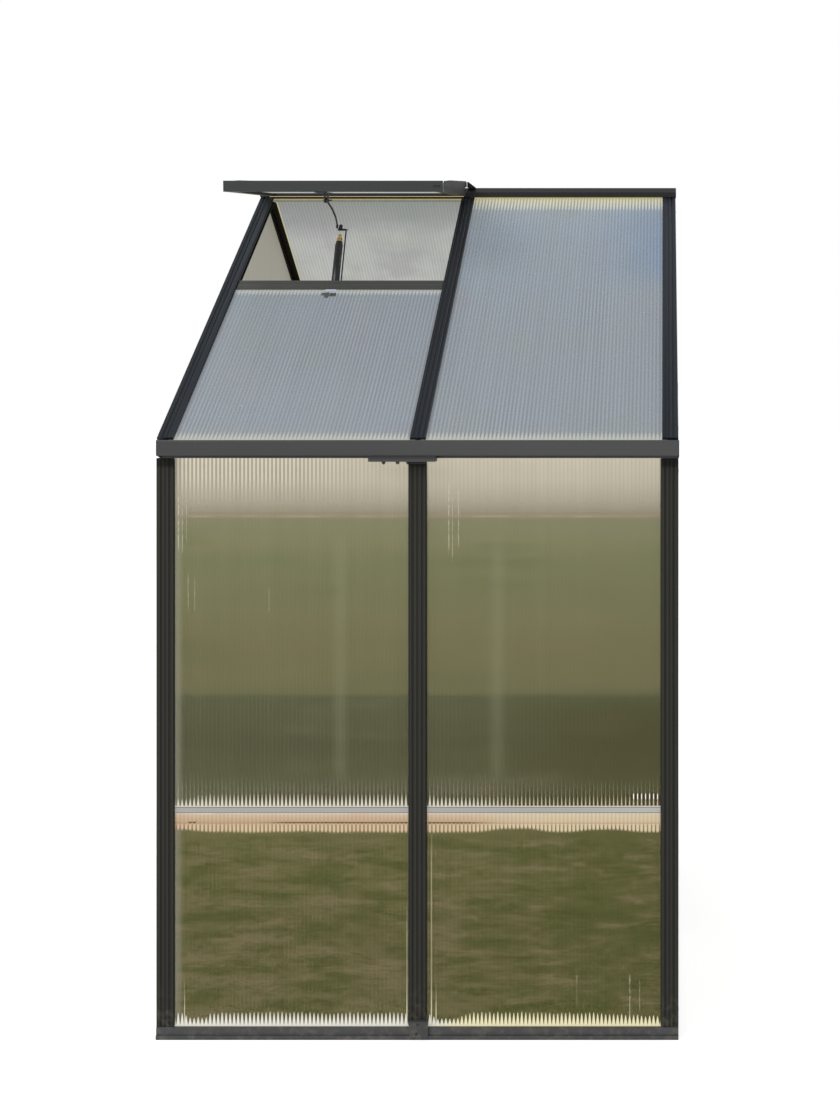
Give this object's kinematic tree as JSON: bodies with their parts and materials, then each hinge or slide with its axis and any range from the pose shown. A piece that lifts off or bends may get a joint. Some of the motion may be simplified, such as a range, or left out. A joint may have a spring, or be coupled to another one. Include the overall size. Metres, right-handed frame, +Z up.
{
  "type": "greenhouse",
  "caption": "Short walk-in gable greenhouse with aluminium glazing bars, twin-wall sheets, eave gutters, a ridge-hung roof vent on an automatic opener and a hinged gable door.",
  "frame": {"origin": "Middle of the whole object's box, at ground level under the base rails.", "axes": "+X along the ridge towards the gable with the door, +Y from the front wall (under the roof vent) to the rear wall, +Z up."},
  "size_m": [1.272, 2.523, 2.171],
  "materials": {
    "frame_powder_coat": "satin powder coat, anthracite, over extruded aluminium",
    "twin_wall_sheet": "fluted twin-wall polycarbonate, translucent, faintly glossy",
    "joining_strip": "mill-finish extruded strip",
    "opener_black": "semi-gloss black coat",
    "opener_brass": "turned, bright",
    "zinc_plate": "bright zinc plate",
    "handle_plastic": "fine matt texture"
  },
  "bodies": {
    "frame": {"base_rail_front": "frame_powder_coat", "base_rail_left": "frame_powder_coat", "base_rail_rear": "frame_powder_coat", "base_rail_right": "frame_powder_coat", "door_header": "frame_powder_coat", "door_hinge_lower": "frame_powder_coat", "door_hinge_upper": "frame_powder_coat", "door_jamb_front": "frame_powder_coat", "door_jamb_rear": "frame_powder_coat", "eave_gutter_front": "frame_powder_coat", "eave_gutter_rear": "frame_powder_coat", "front_sheet_left_lower": "twin_wall_sheet", "front_sheet_left_upper": "twin_wall_sheet", "front_sheet_right_lower": "twin_wall_sheet", "front_sheet_right_upper": "twin_wall_sheet", "gable_stud_front": "frame_powder_coat", "gable_stud_rear": "frame_powder_coat", "gutter_splice_plate": "frame_powder_coat", "left_gable_sheet_front": "twin_wall_sheet", "left_gable_sheet_middle": "twin_wall_sheet", "left_gable_sheet_rear": "twin_wall_sheet", "opener_sill_bracket": "zinc_plate", "post_front_center": "frame_powder_coat", "post_front_left": "frame_powder_coat", "post_front_right": "frame_powder_coat", "post_rear_center": "frame_powder_coat", "post_rear_left": "frame_powder_coat", "post_rear_right": "frame_powder_coat", "rafter_front_center": "frame_powder_coat", "rafter_front_left": "frame_powder_coat", "rafter_front_right": "frame_powder_coat", "rafter_rear_center": "frame_powder_coat", "rafter_rear_left": "frame_powder_coat", "rafter_rear_right": "frame_powder_coat", "rear_sheet_left": "twin_wall_sheet", "rear_sheet_right": "twin_wall_sheet", "ridge_beam": "frame_powder_coat", "right_gable_sheet_front": "twin_wall_sheet", "right_gable_sheet_over_door": "twin_wall_sheet", "right_gable_sheet_rear": "twin_wall_sheet", "roof_sheet_front_left": "twin_wall_sheet", "roof_sheet_front_right": "twin_wall_sheet", "roof_sheet_rear_left": "twin_wall_sheet", "roof_sheet_rear_right": "twin_wall_sheet", "sheet_joiner_left": "joining_strip", "sheet_joiner_right": "joining_strip", "vent_sill": "frame_powder_coat"},
    "vent": {"opener_sash_bracket": "zinc_plate", "vent_bottom_rail": "frame_powder_coat", "vent_glazing": "twin_wall_sheet", "vent_hinge_rail": "frame_powder_coat", "vent_side_rail_left": "frame_powder_coat", "vent_side_rail_right": "frame_powder_coat"},
    "opener_lower": {"opener_lower_arm": "opener_black", "opener_cylinder": "opener_black"},
    "opener_piston": {"opener_piston": "opener_brass"},
    "opener_upper": {"opener_upper_arm": "opener_black"},
    "door": {"door_frame": "frame_powder_coat", "door_glazing": "twin_wall_sheet"},
    "door_handle": {"door_handle": "handle_plastic"}
  },
  "joints": [
    {"name": "vent_hinge", "type": "hinge", "parent": "frame", "child": "vent", "pos_m": [-0.31, -0.02879, 2.15786], "axis": [-1, 0, 0], "range_deg": [-26.07, 2]},
    {"name": "opener_foot_pivot", "type": "hinge", "parent": "frame", "child": "opener_lower", "pos_m": [-0.337, -0.45851, 1.83816], "axis": [1, 0, 0], "range_deg": [-23.31, 2.07]},
    {"name": "opener_head_pivot", "type": "hinge", "parent": "vent", "child": "opener_upper", "pos_m": [-0.337, -0.52913, 2.0874], "axis": [-1, 0, 0], "range_deg": [-23.41, 2.07]},
    {"name": "opener_piston_slide", "type": "slide", "parent": "opener_lower", "child": "opener_piston", "axis": [0, 0.494, 0.8694], "range_m": [-0.0205, 0.002]},
    {"name": "door_hinge", "type": "hinge", "parent": "frame", "child": "door", "pos_m": [0.6315, 0.311, 0.9], "axis": [0, 0, 1], "range_deg": [0, 110]},
    {"name": "door_handle_turn", "type": "hinge", "parent": "door", "child": "door_handle", "pos_m": [0.6315, -0.2865, 0.96], "axis": [-1, 0, 0], "range_deg": [0, 90]}
  ],
  "couplings": [
    {"joint": "opener_foot_pivot", "follows": "vent_hinge", "ratio": 0.88255},
    {"joint": "opener_head_pivot", "follows": "vent_hinge", "ratio": 0.88631},
    {"joint": "opener_piston_slide", "follows": "vent_hinge", "m_per_rad": 0.044}
  ]
}
